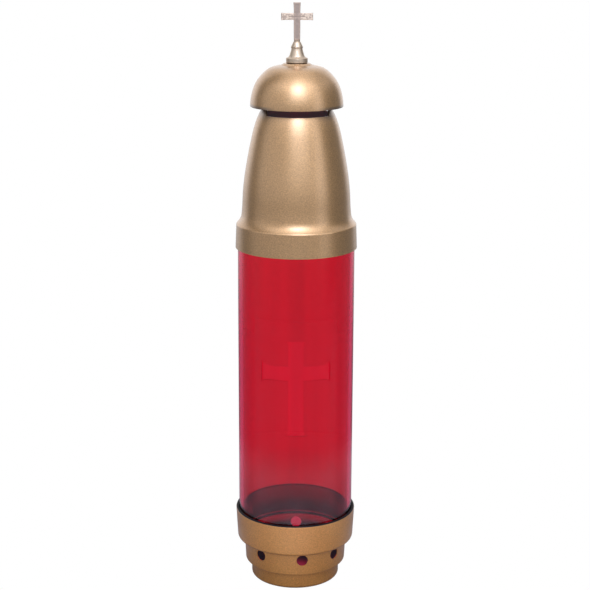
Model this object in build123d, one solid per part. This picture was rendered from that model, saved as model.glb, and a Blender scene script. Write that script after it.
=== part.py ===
"""Sanctuary lamp: a stepped and vented base, a ruby glass globe with a cross cut into it, and a lift-off
hood that carries a bell-shaped cap and a cross finial.

Millimetres, +Z up. The origin is on the ground, under the middle of the base. The globe's cross faces -Y,
and angles round the lamp are counted from -Y towards +X.
"""

import os

from build123d import *

# Glass globe: a standard 3 1/2 inch tube
GLOBE_RADIUS = 88.9 / 2
GLOBE_WALL = 3.0
GLOBE_LENGTH = 248.5
GLOBE_EDGE = 0.8  # fire-polished rounding of the cut ends
CROSS_HEIGHT = 179.3  # of the crossing of the cross in the glass
CROSS_DEPTH = 0.7

# Spun metal: base, hood and cap
SHEET = 0.8
SHEET_EDGE = 0.35  # rounding of a turned edge
CURVE_STEPS = 8  # spans of a free curve's copy on the sheet's inner face

# Base, from the ground up
FOOT_GAP = 0.5  # the pad holds the metal this far off the ground
PAD_THICKNESS = 2.0
PAD_RADIUS = 28.0
LOWER_RADIUS = 34.5
LOWER_TOP = 14.0
MIDDLE_RADIUS = 40.2
MIDDLE_TOP = 32.3
CUP_RADIUS = 46.85
CUP_TOP = 57.0
VENT_RADIUS = 4.4
VENT_HEIGHT = 26.6
VENT_ANGLES = (8, 50, 91, 135, 179, 225, 270, 318)

# Rubber rings
SEAT_THICKNESS = 1.5
SEAT_WIDTH = 2.0
LIP_THICKNESS = 0.7  # the part of the rim gasket that stands above the cup
LIP_RADIUS = 46.5
GASKET_DEPTH = 7.0
GLOBE_CLEARANCE = 0.25  # between the rim gasket and the globe

# Hood, collar to crown
COLLAR_RADIUS = 46.2
COLLAR_BOTTOM = 267.5
SHOULDER = (45.5, 285.6)
COVE = (41.9, 289.1)  # where the shoulder's slope would meet the flank, without the wide curve
NECK = (41.3, 295.0)
CROWN_TOP = 385.1
WINDOW_BOTTOM = 368.7
WINDOW_TOP = 377.5
LEG_ANGLES = (-72, 77)
LEG_FOOT = 21.6  # a leg's width at the bottom of the windows
LEG_WIDTH = 7.2

# Leaf springs that centre the hood in the globe's bore
SPRING_THICKNESS = 0.4
SPRING_ARC = 14  # degrees round the lamp
SPRING_ANGLES = (60, 180, 300)

# Cap and the stack on its stud
CAP_RADIUS = 34.75
CAP_BOTTOM = 374.1
BOSS_TOP = 405.9
BOSS_RADIUS = 8.8
STUD_RADIUS = 2.5
STUD_TOP = 413.9
STUD_PROTRUSION = 2.0  # below the crown nut
CLEARANCE_HOLE = 2.75
WASHER_RADIUS = 7.0
WASHER_THICKNESS = 1.2
LOCK_WASHER_RADIUS = 4.6
NUT_FLATS = 8.0
NUT_HEIGHT = 4.0
THREAD_GAP = 0.02  # between a thread's nominal faces
SPACER_RADIUS = 4.5

# Finial
SEAL_RADIUS = 7.6
SEAL_THICKNESS = 0.5
DISC_RADIUS = 8.05
DISC_TOP = 409.6
FLANGE_TOP = 418.2
FERRULE_TOP = 422.8
TANG_RADIUS = 1.3
TANG_DEPTH = 3.5
CROSS_TOP = 450.0
CROSS_THICKNESS = 2.2
CROSSBAR_HEIGHT = 439.8
CROSSBAR_SPAN = 23.4

# Heights that follow from the stack
SEAT_BOTTOM = MIDDLE_TOP + SHEET
GLOBE_BOTTOM = SEAT_BOTTOM + SEAT_THICKNESS
GLOBE_TOP = GLOBE_BOTTOM + GLOBE_LENGTH
GLOBE_BORE = GLOBE_RADIUS - GLOBE_WALL
CROWN_BOTTOM = CROWN_TOP - SHEET
NUT_TOP = CROWN_BOTTOM - 2 * WASHER_THICKNESS
NUT_BOTTOM = NUT_TOP - NUT_HEIGHT
CAP_WASHER_BOTTOM = BOSS_TOP - SHEET - WASHER_THICKNESS
DISC_BOTTOM = BOSS_TOP + SEAL_THICKNESS

FRONT = Plane(origin=(0, 0, 0), x_dir=(1, 0, 0), z_dir=(0, -1, 0))


def spin(section, angle=360):
    """Revolves a section, drawn with X as the radius and Y as the height, round the lamp's axis."""
    return revolve(section.rotate(Axis.X, 90), Axis.Z, angle)


def across(edge, spot, thickness):
    """The point of a sheet's inner face that lies opposite a spot (0 to 1) on an outline's edge."""
    return edge @ spot + (edge % spot).rotate(Axis.Z, 90) * thickness


def inner_edge(edge, thickness):
    """An outline's edge as it runs on the sheet's inner face, a thickness to the left."""
    if edge.geom_type == GeomType.LINE:
        return Line(across(edge, 0, thickness), across(edge, 1, thickness))
    if edge.geom_type == GeomType.CIRCLE:
        return ThreePointArc(*[across(edge, spot, thickness) for spot in (0, 0.5, 1)])
    points = [across(edge, step / CURVE_STEPS, thickness) for step in range(CURVE_STEPS + 1)]
    return Spline(points, tangents=[edge % 0, edge % 1])


def spun_sheet(curves, thickness=SHEET, angle=360):
    """Revolves a sheet whose outer face is the given smooth outline; the thickness is on its left."""
    outer = Wire([edge for curve in curves for edge in curve.edges()]).order_edges()
    inner = [inner_edge(edge, thickness).edge() for edge in outer]
    ends = [Line(outer[0] @ 0, inner[0] @ 0).edge(), Line(outer[-1] @ 1, inner[-1] @ 1).edge()]
    return spin(make_face(outer + inner + ends), angle)


def ring(inner, outer, bottom, top):
    """A plain ring round the lamp's axis."""
    height = top - bottom
    return Pos(0, 0, bottom + height / 2) * (Cylinder(outer, height) - Cylinder(inner, height))


def round_mouth(shell, end):
    """Rounds the two edges at a shell's lowest (0) or highest (-1) mouth."""
    return fillet(shell.edges().filter_by(GeomType.CIRCLE).group_by(Axis.Z)[end], SHEET_EDGE)


def flared_arm(length, width, end_width, flare):
    """A cross arm from the crossing up, whose sides curve out to a wider end."""
    straight = length - flare
    right = Line((width / 2, 0), (width / 2, straight))
    curve = TangentArc((width / 2, straight), (end_width / 2, length), tangent=(0, 1))
    sides = [right, curve, mirror(right, Plane.YZ), mirror(curve, Plane.YZ)]
    ends = [Line((-width / 2, 0), (width / 2, 0)), Line((-end_width / 2, length), (end_width / 2, length))]
    return make_face([edge for side in sides + ends for edge in side.edges()])


def base_shell():
    """Three stepped tiers in one spun cup, with a recess underneath for the pad and vents in the middle."""
    outline = FilletPolyline(
        (0, PAD_THICKNESS),
        (PAD_RADIUS + 0.5, PAD_THICKNESS),
        (PAD_RADIUS + 1.9, FOOT_GAP),
        (LOWER_RADIUS, FOOT_GAP),
        (LOWER_RADIUS, LOWER_TOP),
        (MIDDLE_RADIUS - 1.0, LOWER_TOP),
        (MIDDLE_RADIUS, MIDDLE_TOP),
        (CUP_RADIUS - 1.35, MIDDLE_TOP),
        (CUP_RADIUS + 0.05, CUP_TOP + 1),
        radius=[0.4, 0.9, 2.4, 0.4, 1.0, 0.5, 2.6],
    )
    shell = round_mouth(split(spun_sheet([outline]), Plane.XY.offset(CUP_TOP), Keep.BOTTOM), -1)
    drill = Pos(0, -MIDDLE_RADIUS, VENT_HEIGHT) * Rot(X=90) * Cylinder(VENT_RADIUS, 8)
    return shell - [Rot(Z=angle) * drill for angle in VENT_ANGLES]


def foot_pad():
    """The rubber disc that the lamp stands on."""
    pad = Pos(0, 0, PAD_THICKNESS / 2) * Cylinder(PAD_RADIUS, PAD_THICKNESS)
    return chamfer(pad.edges().group_by(Axis.Z)[0], 0.3)


def globe_seat():
    """The flat rubber ring between the base's upper ledge and the globe."""
    inner = GLOBE_BORE - 0.4
    return ring(inner, inner + SEAT_WIDTH, SEAT_BOTTOM, GLOBE_BOTTOM)


def rim_gasket():
    """The black ring that fills the gap between cup and globe and laps over the cup's rim."""
    inner = GLOBE_RADIUS + GLOBE_CLEARANCE
    wall_top = CUP_RADIUS - SHEET - 0.06
    wall_lean = 1.35 / (CUP_TOP - MIDDLE_TOP)
    section = make_face(
        Polyline(
            (inner, CUP_TOP - GASKET_DEPTH),
            (wall_top - wall_lean * GASKET_DEPTH, CUP_TOP - GASKET_DEPTH),
            (wall_top, CUP_TOP),
            (LIP_RADIUS, CUP_TOP),
            (LIP_RADIUS, CUP_TOP + LIP_THICKNESS),
            (inner, CUP_TOP + LIP_THICKNESS),
            close=True,
        )
    )
    gasket = spin(section)
    return fillet(gasket.edges().group_by(Axis.Z)[-1], 0.3)


def globe():
    """The ruby glass tube, with a flared Latin cross cut shallowly into its front."""
    tube = ring(GLOBE_BORE, GLOBE_RADIUS, GLOBE_BOTTOM, GLOBE_TOP)
    tube = fillet(tube.edges().filter_by(GeomType.CIRCLE), GLOBE_EDGE)
    arms = Sketch() + [
        flared_arm(25.2, 11.6, 17.6, 4.2),
        Rot(Z=180) * flared_arm(49.1, 11.6, 18.6, 4.6),
        Rot(Z=90) * flared_arm(25.7, 11.5, 16.4, 5.5),
        Rot(Z=-90) * flared_arm(25.7, 11.5, 16.4, 5.5),
    ]
    cutter = extrude(FRONT * Pos(0, CROSS_HEIGHT) * arms, GLOBE_RADIUS + 5)
    skin = ring(GLOBE_RADIUS - CROSS_DEPTH, GLOBE_RADIUS + 1, GLOBE_BOTTOM, GLOBE_TOP)
    return tube - (cutter & skin)


def hood_shell():
    """Collar, ogive and crown spun from one sheet, with windows under the cap that leave two legs."""
    flank_top = (23.6, 376.2)
    collar = FilletPolyline((COLLAR_RADIUS, COLLAR_BOTTOM), SHOULDER, COVE, NECK, radius=[1.3, 11])
    crown = FilletPolyline(flank_top, (16.5, CROWN_TOP), (0, CROWN_TOP), radius=3.5)
    points = [NECK, (40.5, 308.7), (37.6, 331.7), (34.1, 349.7), (30.1, 364.2), flank_top]
    flank = Spline(points, tangents=[collar % 1, crown % 0])
    shell = round_mouth(spun_sheet([collar, flank, crown]), 0)
    shell -= Pos(0, 0, CROWN_TOP) * Cylinder(CLEARANCE_HOLE, 4)
    leg = make_face(
        Polyline(
            (-LEG_FOOT / 2, WINDOW_BOTTOM - 1),
            (LEG_FOOT / 2, WINDOW_BOTTOM - 1),
            (LEG_WIDTH / 2, WINDOW_BOTTOM + 5.3),
            (LEG_WIDTH / 2, WINDOW_TOP + 1),
            (-LEG_WIDTH / 2, WINDOW_TOP + 1),
            (-LEG_WIDTH / 2, WINDOW_BOTTOM + 5.3),
            close=True,
        )
    )
    kept = extrude(FRONT * leg, GLOBE_RADIUS)
    band = ring(5, GLOBE_RADIUS, WINDOW_BOTTOM, WINDOW_TOP)
    return shell - (band - [Rot(Z=angle) * kept for angle in LEG_ANGLES])


def hood_gasket():
    """The ring under the hood's shoulder, which rests on the globe's top edge."""
    section = make_face(
        Polyline(
            (GLOBE_BORE + 0.3, GLOBE_TOP),
            (44.2, GLOBE_TOP),
            (44.2, 285.65),
            (43.0, 286.9),
            (GLOBE_BORE + 0.3, 287.3),
            close=True,
        )
    )
    return spin(section)


def retainer_spring(angle):
    """A leaf spring, welded inside the hood, that bows out towards the globe's bore."""
    outline = FilletPolyline(
        (40.0, 268.3), (41.0, 275.5), (40.2, 286.0), (40.57, 293.4), (40.17, 298.4), radius=[5, 5, 3]
    )
    spring = spun_sheet([outline], SPRING_THICKNESS, SPRING_ARC)
    return Rot(Z=angle - 90 - SPRING_ARC / 2) * spring


def crown_washer():
    """The plain washer under the hood's crown."""
    return ring(CLEARANCE_HOLE, WASHER_RADIUS, CROWN_BOTTOM - WASHER_THICKNESS, CROWN_BOTTOM)


def crown_lock_washer():
    """The split spring washer on the crown nut."""
    washer = ring(STUD_RADIUS + 0.1, LOCK_WASHER_RADIUS, NUT_TOP, NUT_TOP + WASHER_THICKNESS)
    split = Pos(LOCK_WASHER_RADIUS, 0, NUT_TOP) * Rot(X=20) * Box(2 * LOCK_WASHER_RADIUS, 0.6, 6)
    return washer - split


def crown_nut():
    """The hexagon nut that holds the stud in the crown."""
    blank = extrude(RegularPolygon(NUT_FLATS / 2, 6, major_radius=False), NUT_HEIGHT)
    dome = Pos(0, 0, NUT_HEIGHT / 2) * Cylinder(NUT_FLATS / 2 + 0.45, NUT_HEIGHT)
    dome = chamfer(dome.edges().filter_by(GeomType.CIRCLE), 0.45)
    bore = Pos(0, 0, NUT_HEIGHT / 2) * Cylinder(STUD_RADIUS + THREAD_GAP, NUT_HEIGHT)
    return Pos(0, 0, NUT_BOTTOM) * ((blank & dome) - bore)


def cap_stud():
    """The M5 stud from the crown nut up into the finial."""
    bottom = NUT_BOTTOM - STUD_PROTRUSION
    height = STUD_TOP - bottom
    stud = Pos(0, 0, bottom + height / 2) * Cylinder(STUD_RADIUS, height)
    return chamfer(stud.edges().filter_by(GeomType.CIRCLE), 0.5)


def cap_spacer():
    """The tube that holds the cap above the crown."""
    return ring(CLEARANCE_HOLE, SPACER_RADIUS, CROWN_TOP, CAP_WASHER_BOTTOM)


def cap_washer():
    """The plain washer between the spacer and the inside of the cap's boss."""
    return ring(CLEARANCE_HOLE, WASHER_RADIUS, CAP_WASHER_BOTTOM, CAP_WASHER_BOTTOM + WASHER_THICKNESS)


def dome_cap():
    """The bell-shaped cap, spun from one sheet, with a small raised boss for the finial."""
    boss_foot = (14.2, 404.1)
    boss = FilletPolyline(
        boss_foot, (11.9, 404.5), (BOSS_RADIUS + 0.9, BOSS_TOP), (0, BOSS_TOP), radius=[1.0, 0.9]
    )
    bell = Spline(
        (CAP_RADIUS, CAP_BOTTOM), (33.4, 384.3), (29.8, 393.0), (23.4, 400.2), boss_foot,
        tangents=[(0, 1), boss % 0],
    )
    cap = round_mouth(spun_sheet([bell, boss]), 0)
    return cap - Pos(0, 0, BOSS_TOP) * Cylinder(CLEARANCE_HOLE, 4)


def seal_washer():
    """The thin black washer between cap and finial."""
    return ring(CLEARANCE_HOLE, SEAL_RADIUS, BOSS_TOP, DISC_BOTTOM)


def finial_bell():
    """The turned foot of the finial, tapped from below for the stud."""
    outline = [
        FilletPolyline(
            (0, DISC_BOTTOM), (DISC_RADIUS, DISC_BOTTOM), (DISC_RADIUS, DISC_TOP), (7.0, DISC_TOP + 0.4),
            radius=[0.3, 0.4],
        ),
        Spline((7.0, DISC_TOP + 0.4), (5.1, 412.9), (4.1, 416.9), tangents=[(-0.94, 0.34), (-0.05, 1)]),
        ThreePointArc((4.1, 416.9), (4.45, 417.55), (4.3, FLANGE_TOP)),
        Polyline((4.3, FLANGE_TOP), (0, FLANGE_TOP), (0, DISC_BOTTOM)),
    ]
    body = spin(make_face([edge for curve in outline for edge in curve.edges()]))
    depth = STUD_TOP + 0.6 - DISC_BOTTOM
    tapped = Pos(0, 0, DISC_BOTTOM + depth / 2) * Cylinder(STUD_RADIUS + THREAD_GAP, depth)
    socket = Pos(0, 0, FLANGE_TOP) * Cylinder(2.0, 2.4)
    return body - tapped - socket


def finial_ferrule():
    """The tapered collar that grips the cross's tang and plugs into the bell."""
    profile = make_face(
        Polyline(
            (0, FLANGE_TOP - 1.2),
            (1.98, FLANGE_TOP - 1.2),
            (1.98, FLANGE_TOP),
            (4.1, FLANGE_TOP),
            (3.9, FLANGE_TOP + 0.7),
            (2.8, 421.2),
            (2.3, 421.7),
            (2.3, FERRULE_TOP),
            (0, FERRULE_TOP),
            close=True,
        )
    )
    hole = Pos(0, 0, FERRULE_TOP) * Cylinder(TANG_RADIUS + THREAD_GAP, 2 * TANG_DEPTH)
    return spin(profile) - hole


def finial_cross():
    """The flat cast cross, with sunk panels in its arms and a line across its middle."""
    up = CROSS_TOP - CROSSBAR_HEIGHT
    down = CROSSBAR_HEIGHT - FERRULE_TOP
    side = CROSSBAR_SPAN / 2
    arms = Sketch() + [
        flared_arm(up, 4.8, 5.4, 6.0),
        Rot(Z=180) * flared_arm(down, 4.8, 4.6, 9.0),
        Rot(Z=90) * flared_arm(side, 4.8, 5.3, 4.0),
        Rot(Z=-90) * flared_arm(side, 4.8, 5.3, 4.0),
    ]
    plate = extrude(FRONT * Pos(0, CROSSBAR_HEIGHT) * arms, CROSS_THICKNESS / 2, both=True)
    flat_faces = plate.faces().filter_by(Axis.Y)
    plate = chamfer(flat_faces.edges(), 0.3)
    panel = make_face(Polyline((-1.5, up - 1.0), (1.5, up - 1.0), (1.5, 2.6), (0, 0.6), (-1.5, 2.6), close=True))
    stem = make_face(Polyline((-1.2, 1 - down), (1.2, 1 - down), (1.2, -2.6), (0, -0.9), (-1.2, -2.6), close=True))
    groove = Rectangle(12.4, 0.6)
    sunk = FRONT * Pos(0, CROSSBAR_HEIGHT) * (Sketch() + [panel, stem, groove])
    front_cut = Pos(0, -CROSS_THICKNESS / 2 + 0.3, 0) * extrude(sunk, 2)
    plate = plate - front_cut - mirror(front_cut, Plane.XZ)
    tang = Pos(0, 0, FERRULE_TOP - TANG_DEPTH / 2) * Cylinder(TANG_RADIUS, TANG_DEPTH)
    return plate + tang


def write_parts():
    """Builds every piece and writes it to its own file."""
    parts = {
        "base_shell": base_shell(),
        "foot_pad": foot_pad(),
        "globe_seat": globe_seat(),
        "rim_gasket": rim_gasket(),
        "globe": globe(),
        "hood_shell": hood_shell(),
        "hood_gasket": hood_gasket(),
        "crown_washer": crown_washer(),
        "crown_lock_washer": crown_lock_washer(),
        "crown_nut": crown_nut(),
        "cap_stud": cap_stud(),
        "cap_spacer": cap_spacer(),
        "cap_washer": cap_washer(),
        "dome_cap": dome_cap(),
        "seal_washer": seal_washer(),
        "finial_bell": finial_bell(),
        "finial_ferrule": finial_ferrule(),
        "finial_cross": finial_cross(),
    }
    for number, angle in enumerate(SPRING_ANGLES, 1):
        parts[f"retainer_spring_{number}"] = retainer_spring(angle)
    os.makedirs("parts", exist_ok=True)
    for name, part in parts.items():
        export_step(part, f"parts/{name}.step")


write_parts()
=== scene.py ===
"""Looks for the sanctuary lamp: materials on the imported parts, a pale floor and a soft studio.

Metres, in the part's frame: +Z up, the origin on the ground under the middle of the base, and the
cross in the globe faces -Y.
"""

import math

import bpy
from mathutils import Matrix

MM = 0.001

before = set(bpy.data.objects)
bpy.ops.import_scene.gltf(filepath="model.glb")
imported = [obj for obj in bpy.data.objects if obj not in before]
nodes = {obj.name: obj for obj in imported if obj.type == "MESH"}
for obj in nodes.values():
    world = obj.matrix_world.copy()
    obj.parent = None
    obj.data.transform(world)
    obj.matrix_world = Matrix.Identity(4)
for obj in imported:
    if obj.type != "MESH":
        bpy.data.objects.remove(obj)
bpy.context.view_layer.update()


def ends_of(name):
    """The lowest and highest point of a node."""
    heights = [corner[2] for corner in nodes[name].bound_box]
    return min(heights), max(heights)


GLASS_BOTTOM, GLASS_TOP = ends_of("globe")
GLASS_RADIUS = max(corner[0] for corner in nodes["globe"].bound_box)
RIM_TOP = ends_of("rim_gasket")[1]
CROSSBAR_HEIGHT = ends_of("finial_cross")[1] - 10.2 * MM

# Bands in which openings cut the sheet: lowest and highest point, and the sheet's outer radius at both
WINDOWED_BAND = (368 * MM, 378 * MM, 27.9 * MM, 22.6 * MM)
VENTED_BAND = (20 * MM, 31 * MM, 39.53 * MM, 40.13 * MM)
PAINTED_DEPTH = (0.6 * MM, 0.7 * MM)  # of a cut edge, inwards from the outer face, with a soft end

# Paint on the inside of the sheet
BLACK_PAINT = (0.055, 0.050, 0.064, 1)
BLACK_ROUGHNESS = 0.45

# Floor, in metres
FLOOR_HALF = 1.25
FLOOR_TINT = (0.95, 0.98, 1.12)
POOL_FROM_AXIS = 0.15  # middle of the pool of light, in front of the lamp
# painted red light: the lamp's light through its ruby glass, on the floor near it, seen only through the
# glass
RED_LIGHT_PAINTED_ON_FLOOR = (0.85, 0.01, 0.08, 1)  # near the lamp
MATT_DIMMING = 0.45  # share of the white behind the glass that doesn't reach matt parts

# Studio
ICY, COOL, NEUTRAL = (0.90, 0.99, 1.30), (0.92, 0.98, 1.08), (1.0, 0.99, 1.01)

# Soft boxes as seen from the lamp: middle and half width round it (from -Y towards +X), middle and half
# height above the level, softness of the edges (all in degrees), brightness and colour
SOFT_BOXES = (
    (7, 24, 47, 30, 12, 1.45, COOL),
    (3, 14, 42, 13, 9, 3.4, ICY),
    (2, 70, 52, 18, 14, 0.68, NEUTRAL),
    (-17, 78, 26, 35, 13, 0.48, NEUTRAL),
    (80, 45, 48, 22, 12, 0.44, NEUTRAL),
    (57, 12, 10, 18, 7, 0.70, NEUTRAL),
    (-174, 48, 6, 16, 9, 0.88, NEUTRAL),
    (-176, 48, 48, 26, 11, 0.72, NEUTRAL),
    (0, 180, 90, 24, 14, 0.75, NEUTRAL),
)
ROOM = 0.19  # brightness of everything between the soft boxes

# Camera: place in metres, and lens and sensor in millimetres
CAMERA_PLACE = (-0.0008, -1.1019, 0.5062)
LOOKING_DOWN = math.radians(14.113)
ROLL = math.radians(0.20)
FOCAL_LENGTH = 90.25
SENSOR_WIDTH = 36


# ---------------------------------------------------------------- node helpers

def new_material(name):
    """A material with an empty node tree, its output node and a Principled shader."""
    material = bpy.data.materials.new(name)
    material.use_nodes = True
    tree = material.node_tree
    tree.nodes.clear()
    output = tree.nodes.new("ShaderNodeOutputMaterial")
    shader = tree.nodes.new("ShaderNodeBsdfPrincipled")
    tree.links.new(shader.outputs["BSDF"], output.inputs["Surface"])
    return material, tree, shader


def plug(tree, socket, value):
    """Sets a socket to a number or colour, or links another node's socket to it."""
    if isinstance(value, bpy.types.NodeSocket):
        tree.links.new(value, socket)
    else:
        socket.default_value = value


def math_node(tree, operation, *values):
    """The result of a Math node."""
    node = tree.nodes.new("ShaderNodeMath")
    node.operation = operation
    for socket, value in zip(node.inputs, values):
        plug(tree, socket, value)
    return node.outputs[0]


def remap(tree, value, low, high, to_low=0.0, to_high=1.0, smooth=True):
    """A value between low and high, carried over to the range to_low to to_high."""
    node = tree.nodes.new("ShaderNodeMapRange")
    node.interpolation_type = "SMOOTHSTEP" if smooth else "LINEAR"
    for name, number in (("Value", value), ("From Min", low), ("From Max", high),
                         ("To Min", to_low), ("To Max", to_high)):
        plug(tree, node.inputs[name], number)
    return node.outputs["Result"]


def mix_colour(tree, factor, first, second, blend="MIX"):
    """Two colours blended by a factor."""
    node = tree.nodes.new("ShaderNodeMix")
    node.data_type = "RGBA"
    node.blend_type = blend
    plug(tree, node.inputs["Factor"], factor)
    plug(tree, node.inputs["A"], first)
    plug(tree, node.inputs["B"], second)
    return node.outputs["Result"]


def noise(tree, position, size, detail=2.0, roughness=0.5, stretch=(1, 1, 1)):
    """Noise whose blobs are about the given size in metres, from 0 to 1."""
    if stretch != (1, 1, 1):
        mapping = tree.nodes.new("ShaderNodeMapping")
        mapping.inputs["Scale"].default_value = stretch
        tree.links.new(position, mapping.inputs["Vector"])
        position = mapping.outputs["Vector"]
    node = tree.nodes.new("ShaderNodeTexNoise")
    tree.links.new(position, node.inputs["Vector"])
    node.inputs["Scale"].default_value = 1 / size
    node.inputs["Detail"].default_value = detail
    node.inputs["Roughness"].default_value = roughness
    return node.outputs["Fac"]


def bump(tree, height, distance, strength=1.0, below=None):
    """A bump from a height of 0 to 1, as deep as distance."""
    node = tree.nodes.new("ShaderNodeBump")
    node.inputs["Strength"].default_value = strength
    node.inputs["Distance"].default_value = distance
    tree.links.new(height, node.inputs["Height"])
    if below:
        tree.links.new(below, node.inputs["Normal"])
    return node.outputs["Normal"]


def position_of(tree):
    """Where a point is on the part, in metres, and the surface's own direction there."""
    node = tree.nodes.new("ShaderNodeTexCoord")
    return node.outputs["Object"], node.outputs["Normal"]


def split_vector(tree, vector):
    """The x, y and z of a vector."""
    node = tree.nodes.new("ShaderNodeSeparateXYZ")
    tree.links.new(vector, node.inputs[0])
    return node.outputs[0], node.outputs[1], node.outputs[2]


def distance_from_axis(tree, x, y):
    """How far a point is from the lamp's axis."""
    return math_node(tree, "SQRT", math_node(tree, "ADD", math_node(tree, "MULTIPLY", x, x),
                                             math_node(tree, "MULTIPLY", y, y)))


def facing_outwards(tree, position, normal):
    """1 where a surface faces away from the lamp's axis, -1 where it faces the axis."""
    x, y, _ = split_vector(tree, position)
    nx, ny, _ = split_vector(tree, normal)
    along = math_node(tree, "ADD", math_node(tree, "MULTIPLY", x, nx), math_node(tree, "MULTIPLY", y, ny))
    return math_node(tree, "DIVIDE", along, math_node(tree, "MAXIMUM", distance_from_axis(tree, x, y), 1e-5))


# ---------------------------------------------------------------- materials

def in_sheet(tree, position, low, high, radius_low, radius_high):
    """1 in the metal's own thickness near its outer face, in a band whose radius changes evenly upwards."""
    x, y, z = split_vector(tree, position)
    outer = remap(tree, z, low, high, radius_low, radius_high, smooth=False)
    depth = math_node(tree, "SUBTRACT", outer, distance_from_axis(tree, x, y))
    in_band = math_node(tree, "MULTIPLY", math_node(tree, "GREATER_THAN", z, low),
                        math_node(tree, "LESS_THAN", z, high))
    return math_node(tree, "MULTIPLY", in_band, remap(tree, depth, *PAINTED_DEPTH, 1.0, 0.0, smooth=False))


def metallic_paint(name, colour, second, metallic, roughness, coat_ior, painted_shade, cut_edges, inside_turns_up,
                   light_inside):
    """Satin metallic paint on spun sheet: flakes, orange peel and faint spinning marks under a soft lacquer.

    The inside of the sheet is black. inside_turns_up says which way the inside faces on level parts, and
    cut_edges is the band (heights and radii) in which cut edges of the sheet are painted as the outside.
    painted_shade says where painted shade under the cap's rim darkens the paint, or is None. light_inside
    adds the light that bounces about in the lamp.
    """
    material, tree, shader = new_material(name)
    position, normal = position_of(tree)
    _, _, nz = split_vector(tree, normal)
    outwards = facing_outwards(tree, position, normal)
    level = math_node(tree, "MULTIPLY", nz, -0.9 if inside_turns_up else 0.9)
    outside = remap(tree, math_node(tree, "ADD", outwards, level), -0.12, 0.02)
    edge = in_sheet(tree, position, *cut_edges)
    outside = math_node(tree, "MAXIMUM", outside, edge)

    flakes = noise(tree, position, 0.9 * MM, detail=3.0, roughness=0.7)
    peel = noise(tree, position, 2.2 * MM, detail=1.0)
    clouds = noise(tree, position, 38 * MM, detail=2.0)
    spinning = noise(tree, position, 14 * MM, detail=2.0, stretch=(0.25, 0.25, 9))

    tone = mix_colour(tree, remap(tree, clouds, 0.35, 0.65), colour, second)
    grain = remap(tree, flakes, 0.3, 0.7, 0.74, 1.22, smooth=False)
    grain_colour = tree.nodes.new("ShaderNodeCombineColor")
    for channel in grain_colour.inputs:
        tree.links.new(grain, channel)
    tone = mix_colour(tree, 1.0, tone, grain_colour.outputs[0], "MULTIPLY")
    if painted_shade:
        # painted shade under the cap's rim: the paint is mixed towards black
        shaded_by_cap = math_node(tree, "MULTIPLY", painted_shade(tree, position),
                          remap(tree, flakes, 0.2, 0.6, 0.45, 0.65))
        tone = mix_colour(tree, shaded_by_cap, tone, BLACK_PAINT)
    plug(tree, shader.inputs["Base Color"], mix_colour(tree, outside, BLACK_PAINT, tone))
    plug(tree, shader.inputs["Metallic"], math_node(tree, "MULTIPLY", outside, metallic))

    varied = remap(tree, math_node(tree, "ADD", flakes, spinning), 0.7, 1.3, roughness - 0.05,
                   roughness + 0.06, smooth=False)
    inside = math_node(tree, "SUBTRACT", 1.0, outside)
    blend = math_node(tree, "ADD", math_node(tree, "MULTIPLY", varied, outside),
                      math_node(tree, "MULTIPLY", inside, BLACK_ROUGHNESS))
    plug(tree, shader.inputs["Roughness"], blend)
    shader.inputs["Coat Weight"].default_value = 1.0
    shader.inputs["Coat Roughness"].default_value = 0.27
    shader.inputs["Coat IOR"].default_value = coat_ior
    plug(tree, shader.inputs["Emission Color"], light_inside(tree, position))
    plug(tree, shader.inputs["Emission Strength"], inside)

    relief = bump(tree, peel, 0.035 * MM)
    relief = bump(tree, flakes, 0.020 * MM, below=relief)
    relief = bump(tree, spinning, 0.05 * MM, strength=0.6, below=relief)
    plug(tree, shader.inputs["Normal"], relief)
    return material


def painted_shade_under_cap(tree, position):
    """Painted shade from the cap's overhang on the hood, beside its windows and towards the legs."""
    x, _, z = split_vector(tree, position)
    near_windows = math_node(tree, "MULTIPLY", remap(tree, z, 364 * MM, 370.5 * MM),
                             remap(tree, z, 377 * MM, 375 * MM))
    towards_the_legs = remap(tree, math_node(tree, "ABSOLUTE", x), 14 * MM, 25 * MM)
    return math_node(tree, "MULTIPLY", near_windows, towards_the_legs)


def light_in_hood(tree, position):
    """The dim grey light that comes in through the windows."""
    _, _, z = split_vector(tree, position)
    return mix_colour(tree, remap(tree, z, 345 * MM, 360 * MM), (0.004, 0.003, 0.004, 1),
                      (0.020, 0.016, 0.018, 1))


def light_in_base(tree, position):
    """The red light that falls through the glass onto the base's floor and leaves its lower end."""
    x, y, z = split_vector(tree, position)
    radius = distance_from_axis(tree, x, y)
    on_floor = math_node(tree, "MULTIPLY", remap(tree, z, 5 * MM, 4 * MM),
                         remap(tree, radius, 21 * MM, 3 * MM))
    below_glass = math_node(tree, "MULTIPLY", remap(tree, z, 26 * MM, 31.5 * MM, 0.0, 0.8),
                            remap(tree, radius, 41 * MM, 40.5 * MM))
    red = math_node(tree, "MAXIMUM", on_floor, below_glass)
    return mix_colour(tree, red, (0.006, 0.006, 0.009, 1), (0.27, 0.006, 0.034, 1))


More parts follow.
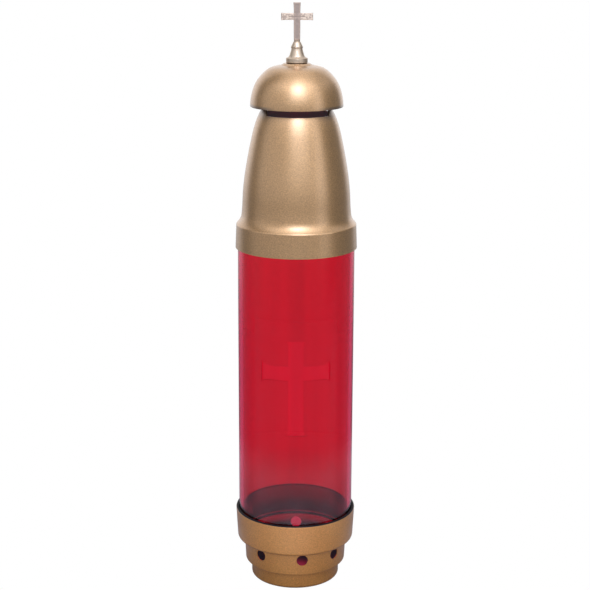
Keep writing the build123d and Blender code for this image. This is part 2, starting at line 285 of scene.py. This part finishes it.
def ruby_glass(name, colour, cross_colour):
    """Clear ruby glass, lighter where the cross is cut in, with drawn streaks, haze and glowing ends.

    Light that enters the wall is carried along inside it, and leaves at the ends and, behind, at the rim.
    """
    material, tree, shader = new_material(name)
    position, normal = position_of(tree)
    x, y, z = split_vector(tree, position)
    radius = distance_from_axis(tree, x, y)
    outwards = facing_outwards(tree, position, normal)
    depth = math_node(tree, "SUBTRACT", GLASS_RADIUS, radius)
    cut_in = math_node(tree, "MULTIPLY", remap(tree, depth, 0.30 * MM, 0.45 * MM),
                       remap(tree, depth, 1.25 * MM, 1.05 * MM))
    in_cross = math_node(tree, "MULTIPLY", cut_in, remap(tree, outwards, 0.5, 0.9))
    streaks = noise(tree, position, 9 * MM, detail=2.0, stretch=(1, 1, 0.03))
    darker = (*[0.92 * channel for channel in colour[:3]], 1)
    tone = mix_colour(tree, remap(tree, streaks, 0.3, 0.7), colour, darker)
    tone = mix_colour(tree, in_cross, tone, cross_colour)
    slant = tree.nodes.new("ShaderNodeLayerWeight")
    slant.inputs["Blend"].default_value = 0.5
    steep = remap(tree, slant.outputs["Facing"], 0.15, 0.8, 0.0, 0.38)
    tone = mix_colour(tree, steep, tone, (0.30, 0.02, 0.05, 1))
    plug(tree, shader.inputs["Base Color"], tone)
    shader.inputs["Transmission Weight"].default_value = 1.0
    shader.inputs["IOR"].default_value = 1.5

    from_end = math_node(tree, "MINIMUM", math_node(tree, "SUBTRACT", z, GLASS_BOTTOM),
                         math_node(tree, "SUBTRACT", GLASS_TOP, z))
    at_end = remap(tree, from_end, 1.0 * MM, 0.7 * MM)
    haze = noise(tree, position, 25 * MM, detail=3.0)
    smooth_wall = remap(tree, haze, 0.35, 0.75, 0.0, 0.035, smooth=False)
    ground_end = math_node(tree, "MULTIPLY", at_end, 0.45)
    plug(tree, shader.inputs["Roughness"], math_node(tree, "MAXIMUM", smooth_wall, ground_end))
    plug(tree, shader.inputs["Normal"], bump(tree, streaks, 0.03 * MM, strength=0.5))

    over_rim = math_node(tree, "SUBTRACT", z, RIM_TOP)
    at_rim = math_node(tree, "MULTIPLY", remap(tree, over_rim, -17.7 * MM, -1.7 * MM),
                       remap(tree, over_rim, 0.8 * MM, -0.7 * MM))
    at_rim = math_node(tree, "MULTIPLY", at_rim, remap(tree, y, 18 * MM, 38 * MM))
    shed = math_node(tree, "ADD", math_node(tree, "MULTIPLY", at_end, 0.06),
                     math_node(tree, "MULTIPLY", at_rim, 0.11))
    shader.inputs["Emission Color"].default_value = (0.62, 0.010, 0.045, 1)
    plug(tree, shader.inputs["Emission Strength"], shed)
    return material


def black_rubber(name):
    """Matt black rubber with a fine grain and a dusty bloom."""
    material, tree, shader = new_material(name)
    position, _ = position_of(tree)
    grain = noise(tree, position, 0.5 * MM, detail=2.0)
    bloom = noise(tree, position, 9 * MM, detail=3.0)
    tone = mix_colour(tree, remap(tree, bloom, 0.4, 0.7), (0.008, 0.008, 0.010, 1), (0.018, 0.018, 0.019, 1))
    plug(tree, shader.inputs["Base Color"], tone)
    plug(tree, shader.inputs["Roughness"], remap(tree, grain, 0.3, 0.7, 0.5, 0.72, smooth=False))
    shader.inputs["Specular IOR Level"].default_value = 0.15
    plug(tree, shader.inputs["Normal"], bump(tree, grain, 0.03 * MM))
    return material


def bare_metal(name, colour, second, roughness, scratch_stretch, grain_depth=0.015):
    """Bare or plated metal with brushed or turned scratches, grain_depth millimetres deep, and tarnish."""
    material, tree, shader = new_material(name)
    position, _ = position_of(tree)
    scratches = noise(tree, position, 1.2 * MM, detail=3.0, roughness=0.7, stretch=scratch_stretch)
    tarnish = noise(tree, position, 6 * MM, detail=3.0)
    plug(tree, shader.inputs["Base Color"], mix_colour(tree, remap(tree, tarnish, 0.4, 0.7), colour, second))
    shader.inputs["Metallic"].default_value = 1.0
    both = math_node(tree, "ADD", math_node(tree, "MULTIPLY", scratches, 0.6),
                     math_node(tree, "MULTIPLY", tarnish, 0.4))
    plug(tree, shader.inputs["Roughness"],
         remap(tree, both, 0.3, 0.7, roughness - 0.07, roughness + 0.10, smooth=False))
    plug(tree, shader.inputs["Normal"], bump(tree, scratches, grain_depth * MM))
    return material


def cast_cross(name):
    """Cast brass: mottled patches of painted highlight on the raised crossbar, and dull sunk panels."""
    material, tree, shader = new_material(name)
    position, _ = position_of(tree)
    x, y, z = split_vector(tree, position)
    grain = noise(tree, position, 0.7 * MM, detail=2.0)
    mottle = noise(tree, position, 1.6 * MM, detail=2.0)
    sunk = remap(tree, math_node(tree, "ABSOLUTE", y), 0.9 * MM, 0.84 * MM)
    from_bar = math_node(tree, "ABSOLUTE", math_node(tree, "SUBTRACT", z, CROSSBAR_HEIGHT))
    bar = math_node(tree, "MULTIPLY", remap(tree, from_bar, 2.5 * MM, 2.2 * MM),
                    remap(tree, math_node(tree, "ABSOLUTE", x), 2.0 * MM, 3.0 * MM))
    # painted highlight: mottled bright cream patches on the crossbar's arms
    painted_highlight = math_node(tree, "MULTIPLY", bar, remap(tree, mottle, 0.38, 0.56))
    tone = mix_colour(tree, remap(tree, mottle, 0.3, 0.7), (0.66, 0.53, 0.46, 1), (0.58, 0.46, 0.40, 1))
    tone = mix_colour(tree, painted_highlight, tone, (0.98, 0.83, 0.70, 1))
    plug(tree, shader.inputs["Base Color"], mix_colour(tree, sunk, tone, (0.53, 0.43, 0.385, 1)))
    shader.inputs["Metallic"].default_value = 0.9
    plug(tree, shader.inputs["Roughness"], remap(tree, grain, 0.3, 0.7, 0.46, 0.60, smooth=False))
    relief = bump(tree, mottle, 0.12 * MM)
    plug(tree, shader.inputs["Normal"], bump(tree, grain, 0.04 * MM, below=relief))
    return material


def paint_nodes(names, material):
    """Puts one material on CAD nodes."""
    for name in names:
        for item in nodes[name].material_slots:
            item.material = material
        if not nodes[name].material_slots:
            nodes[name].data.materials.append(material)


paint_nodes(["hood_shell", "dome_cap"],
            metallic_paint("hood_gold", (0.570, 0.325, 0.130, 1), (0.550, 0.308, 0.116, 1), metallic=0.85,
                           roughness=0.36, coat_ior=2.0, painted_shade=painted_shade_under_cap, cut_edges=WINDOWED_BAND,
                           inside_turns_up=False, light_inside=light_in_hood))
paint_nodes(["base_shell"],
            metallic_paint("base_gold", (0.60, 0.270, 0.064, 1), (0.58, 0.250, 0.055, 1), metallic=0.65,
                           roughness=0.45, coat_ior=1.5, painted_shade=None, cut_edges=VENTED_BAND,
                           inside_turns_up=True, light_inside=light_in_base))
paint_nodes(["globe"], ruby_glass("ruby_glass", (0.750, 0.030, 0.108, 1), (0.93, 0.030, 0.165, 1)))
paint_nodes(["foot_pad", "globe_seat", "rim_gasket", "hood_gasket", "seal_washer"], black_rubber("rubber"))
paint_nodes(["crown_washer", "crown_lock_washer", "crown_nut", "cap_stud", "cap_spacer", "cap_washer"],
            bare_metal("zinc_steel", (0.62, 0.62, 0.60, 1), (0.45, 0.44, 0.40, 1), 0.34, (1, 1, 6)))
paint_nodes([f"retainer_spring_{number}" for number in (1, 2, 3)],
            bare_metal("spring_steel", (0.42, 0.43, 0.45, 1), (0.24, 0.25, 0.29, 1), 0.30, (6, 6, 0.4)))
paint_nodes(["finial_bell", "finial_ferrule"],
            bare_metal("finial_brass", (0.70, 0.58, 0.46, 1), (0.62, 0.50, 0.39, 1), 0.44, (1, 1, 5), 0.02))
paint_nodes(["finial_cross"], cast_cross("cast_brass"))


# ---------------------------------------------------------------- floor, lights and world

def seen_directly(tree, shade=1.0):
    """How much of a plain white is seen: all of it by the camera, and only shade of it through the glass.

    Rays that come off a matt surface inside the lamp get about half of that, which keeps the inside dark.
    """
    path = tree.nodes.new("ShaderNodeLightPath")
    matt = math_node(tree, "MINIMUM", path.outputs["Diffuse Depth"], 1)
    dimmed = math_node(tree, "SUBTRACT", 1, math_node(tree, "MULTIPLY", matt, MATT_DIMMING))
    through = math_node(tree, "MULTIPLY", path.outputs["Is Transmission Ray"], dimmed)
    return math_node(tree, "MAXIMUM", path.outputs["Is Camera Ray"],
                     math_node(tree, "MULTIPLY", through, shade))


def floor_painted_light(tree, x, y):
    """How pale the floor is as a source of light, with light and shade painted in: painted shade close to the
    lamp and behind it, a painted bright ring round it and a painted pool of light in front of it.
    """
    radius = distance_from_axis(tree, x, y)
    # Each stretch says between which radii, in metres, the paleness changes, and from what to what
    # painted shade close to the lamp, rising into a painted bright ring, darker again farther out
    near = remap(tree, radius, 0.05, 0.12, 0.20, 0.38)
    middle = remap(tree, radius, 0.12, 0.16, 0.0, 0.32)
    far = remap(tree, radius, 0.26, 0.38, 0.0, 0.43)
    ring = math_node(tree, "ADD", near, math_node(tree, "SUBTRACT", middle, far))
    # painted shadow of the lamp on the floor behind it, darkening the ring there
    behind = math_node(tree, "MAXIMUM", remap(tree, y, -0.12, 0.04, 1.0, 0.45),
                       remap(tree, radius, 0.14, 0.11))
    # painted pool of light on the floor in front of the lamp
    to_pool = distance_from_axis(tree, x, math_node(tree, "ADD", y, POOL_FROM_AXIS))
    pool = remap(tree, to_pool, 0.12, 0.02, 0.0, 0.38)
    return math_node(tree, "ADD", math_node(tree, "MULTIPLY", ring, behind), pool)


def floor_material():
    """A pale floor: white to the camera, greyer as a source of light, and fading out far from the lamp."""
    material = bpy.data.materials.new("floor")
    material.use_nodes = True
    tree = material.node_tree
    tree.nodes.clear()
    output = tree.nodes.new("ShaderNodeOutputMaterial")
    matt = tree.nodes.new("ShaderNodeBsdfDiffuse")
    glow = tree.nodes.new("ShaderNodeEmission")
    nothing = tree.nodes.new("ShaderNodeBsdfTransparent")
    fade = tree.nodes.new("ShaderNodeMixShader")
    mix = tree.nodes.new("ShaderNodeMixShader")
    position, _ = position_of(tree)
    x, y, _ = split_vector(tree, position)
    radius = distance_from_axis(tree, x, y)

    pale = tree.nodes.new("ShaderNodeVectorMath")
    pale.operation = "SCALE"
    pale.inputs[0].default_value = FLOOR_TINT
    plug(tree, pale.inputs["Scale"], floor_painted_light(tree, x, y))
    plug(tree, matt.inputs["Color"], pale.outputs[0])

    path = tree.nodes.new("ShaderNodeLightPath")
    # painted red light from the lamp on the floor close to it, for rays through the glass only
    red_light_near_lamp = math_node(tree, "MULTIPLY", remap(tree, radius, 0.14, 0.09),
                             path.outputs["Is Transmission Ray"])
    plug(tree, glow.inputs["Color"], mix_colour(tree, red_light_near_lamp, (1, 1, 1, 1), RED_LIGHT_PAINTED_ON_FLOOR))
    lamp_shade = remap(tree, radius, 0.05, 0.34, 0.36, 1.0)
    plug(tree, mix.inputs["Fac"], seen_directly(tree, lamp_shade))
    plug(tree, fade.inputs["Fac"], remap(tree, radius, 0.55, 1.2))
    for first, second, shader in ((matt, nothing, fade), (fade, glow, mix)):
        tree.links.new(first.outputs[0], shader.inputs[1])
        tree.links.new(second.outputs[0], shader.inputs[2])
    tree.links.new(mix.outputs[0], output.inputs["Surface"])
    return material


def make_floor():
    """A level floor, wide enough to fade out before its edge."""
    corners = [(x * FLOOR_HALF, y * FLOOR_HALF, 0) for x, y in ((-1, -1), (1, -1), (1, 1), (-1, 1))]
    mesh = bpy.data.meshes.new("floor")
    mesh.from_pydata(corners, [], [(0, 1, 2, 3)])
    floor = bpy.data.objects.new("floor", mesh)
    bpy.context.scene.collection.objects.link(floor)
    mesh.materials.append(floor_material())


def soft_box(tree, azimuth, elevation, box):
    """How much of one soft box is seen in a direction, from 0 to 1."""
    middle, half_width, height, half_height, softness = box[:5]
    turn = math_node(tree, "WRAP", math_node(tree, "SUBTRACT", azimuth, middle), 180, -180)
    lift = math_node(tree, "SUBTRACT", elevation, height)
    across, up = [
        remap(tree, math_node(tree, "ABSOLUTE", angle), half + softness, half - softness)
        for angle, half in ((turn, half_width), (lift, half_height))
    ]
    return math_node(tree, "MULTIPLY", across, up)


def make_world():
    """White where the camera looks, and a dim room with soft boxes for everything else."""
    world = bpy.data.worlds.new("studio")
    bpy.context.scene.world = world
    world.use_nodes = True
    tree = world.node_tree
    tree.nodes.clear()
    output = tree.nodes.new("ShaderNodeOutputWorld")
    room = tree.nodes.new("ShaderNodeBackground")
    white = tree.nodes.new("ShaderNodeBackground")
    mix = tree.nodes.new("ShaderNodeMixShader")
    x, y, z = split_vector(tree, tree.nodes.new("ShaderNodeTexCoord").outputs["Generated"])
    azimuth = math_node(tree, "DEGREES", math_node(tree, "ARCTAN2", x, math_node(tree, "MULTIPLY", y, -1)))
    elevation = math_node(tree, "DEGREES", math_node(tree, "ARCSINE", z))
    total = (ROOM, ROOM, ROOM)
    for box in SOFT_BOXES:
        brightness, colour = box[5:]
        add = tree.nodes.new("ShaderNodeVectorMath")
        add.operation = "MULTIPLY_ADD"
        add.inputs[0].default_value = [brightness * channel for channel in colour]
        plug(tree, add.inputs[1], soft_box(tree, azimuth, elevation, box))
        plug(tree, add.inputs[2], total)
        total = add.outputs[0]
    tree.links.new(total, room.inputs["Color"])
    white.inputs["Color"].default_value = (1, 1, 1, 1)
    tree.links.new(seen_directly(tree), mix.inputs["Fac"])
    tree.links.new(room.outputs[0], mix.inputs[1])
    tree.links.new(white.outputs[0], mix.inputs[2])
    tree.links.new(mix.outputs[0], output.inputs["Surface"])


make_floor()
make_world()


# ---------------------------------------------------------------- camera

camera_data = bpy.data.cameras.new("camera")
camera_data.lens = FOCAL_LENGTH
camera_data.sensor_width = SENSOR_WIDTH
camera_data.clip_end = 100
camera = bpy.data.objects.new("camera", camera_data)
camera.location = CAMERA_PLACE
camera.rotation_euler = (math.pi / 2 - LOOKING_DOWN, 0, 0)
camera.rotation_euler.rotate_axis("Z", ROLL)
bpy.context.scene.collection.objects.link(camera)
bpy.context.scene.camera = camera

scene = bpy.context.scene
scene.view_settings.view_transform = "Standard"
scene.view_settings.look = "None"
scene.cycles.transparent_max_bounces = 16
scene.cycles.max_bounces = 16
scene.cycles.transmission_bounces = 12
